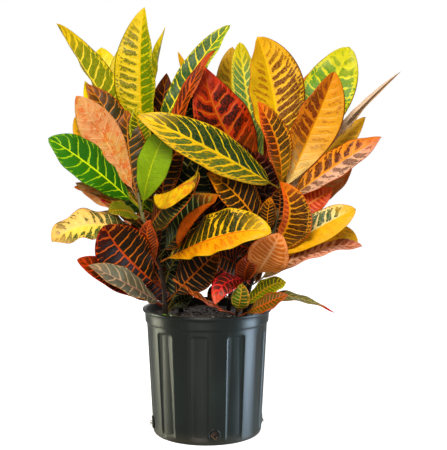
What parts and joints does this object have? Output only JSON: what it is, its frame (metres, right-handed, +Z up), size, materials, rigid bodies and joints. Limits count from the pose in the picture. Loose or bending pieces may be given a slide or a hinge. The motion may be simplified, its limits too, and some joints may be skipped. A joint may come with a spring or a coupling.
{
  "type": "potted croton",
  "caption": "Bushy potted croton with veined gold, green, orange and dark red leaves on woody stems, in a plain dark nursery pot.",
  "frame": {"origin": "middle of the pot's flat underside", "axes": "+Z up through the pot, -Y towards the plant's best side, +X to its right"},
  "size_m": [0.6791, 0.4454, 0.8322],
  "materials": {
    "pot_plastic": "satin",
    "potting_soil": "rough",
    "stem_bark": "matte",
    "leaf_gold": "satin",
    "leaf_cream": "satin",
    "leaf_lime": "satin",
    "leaf_green": "satin",
    "leaf_orange": "satin",
    "leaf_coral": "satin",
    "leaf_crimson": "satin",
    "leaf_red": "satin",
    "leaf_rosy": "matte",
    "leaf_bronze": "satin",
    "leaf_dusk": "satin"
  },
  "bodies": {
    "root": {"nursery_pot": "pot_plastic", "potting_soil": "potting_soil", "left_stem": "stem_bark", "rear_left_stem": "stem_bark", "right_stem": "stem_bark", "rear_right_stem": "stem_bark", "low_shoot": "stem_bark", "leaf_gold_tall": "leaf_gold", "leaf_gold_far_left": "leaf_gold", "leaf_cream_behind": "leaf_cream", "leaf_gold_narrow": "leaf_gold", "leaf_dusk_small": "leaf_dusk", "leaf_green_top": "leaf_green", "leaf_red_strip": "leaf_red", "leaf_yellow_point": "leaf_gold", "leaf_crimson_big": "leaf_crimson", "leaf_pale_stripe": "leaf_lime", "leaf_brown_gold": "leaf_gold", "leaf_gold_big": "leaf_gold", "leaf_coral_narrow": "leaf_coral", "leaf_orange_plain": "leaf_orange", "leaf_lime_curl": "leaf_lime", "leaf_dry_curl": "leaf_rosy", "leaf_gold_right": "leaf_gold", "leaf_blotched_right": "leaf_coral", "leaf_rosy_back": "leaf_rosy", "leaf_crimson_fold": "leaf_crimson", "leaf_gold_low_right": "leaf_lime", "leaf_coral_arch": "leaf_coral", "leaf_green_big": "leaf_green", "leaf_rosy_underside": "leaf_rosy", "leaf_bronze_left": "leaf_dusk", "leaf_green_plain": "leaf_green", "leaf_olive_low": "leaf_dusk", "leaf_orange_left": "leaf_orange", "leaf_green_cross": "leaf_green", "leaf_copper_vein": "leaf_bronze", "leaf_folded_orange": "leaf_orange", "leaf_dark_curl": "leaf_green", "leaf_orange_front": "leaf_orange", "leaf_rust_upright": "leaf_coral", "leaf_dark_left": "leaf_dusk", "leaf_grey_satin": "leaf_dusk", "leaf_red_vein_low": "leaf_dusk", "leaf_gold_curl_left": "leaf_lime", "leaf_copper_low": "leaf_bronze", "leaf_brown_edge": "leaf_bronze", "leaf_dark_foot": "leaf_dusk", "leaf_red_hanging": "leaf_red", "leaf_green_low": "leaf_green", "leaf_lime_low": "leaf_lime", "leaf_red_low": "leaf_red", "leaf_drooping": "leaf_red", "leaf_back_high": "leaf_green", "leaf_back_middle": "leaf_gold", "leaf_back_left": "leaf_green", "leaf_back_right_high": "leaf_green", "leaf_back_right": "leaf_orange", "leaf_back_centre": "leaf_crimson", "leaf_back_low": "leaf_dusk"}
  },
  "joints": []
}
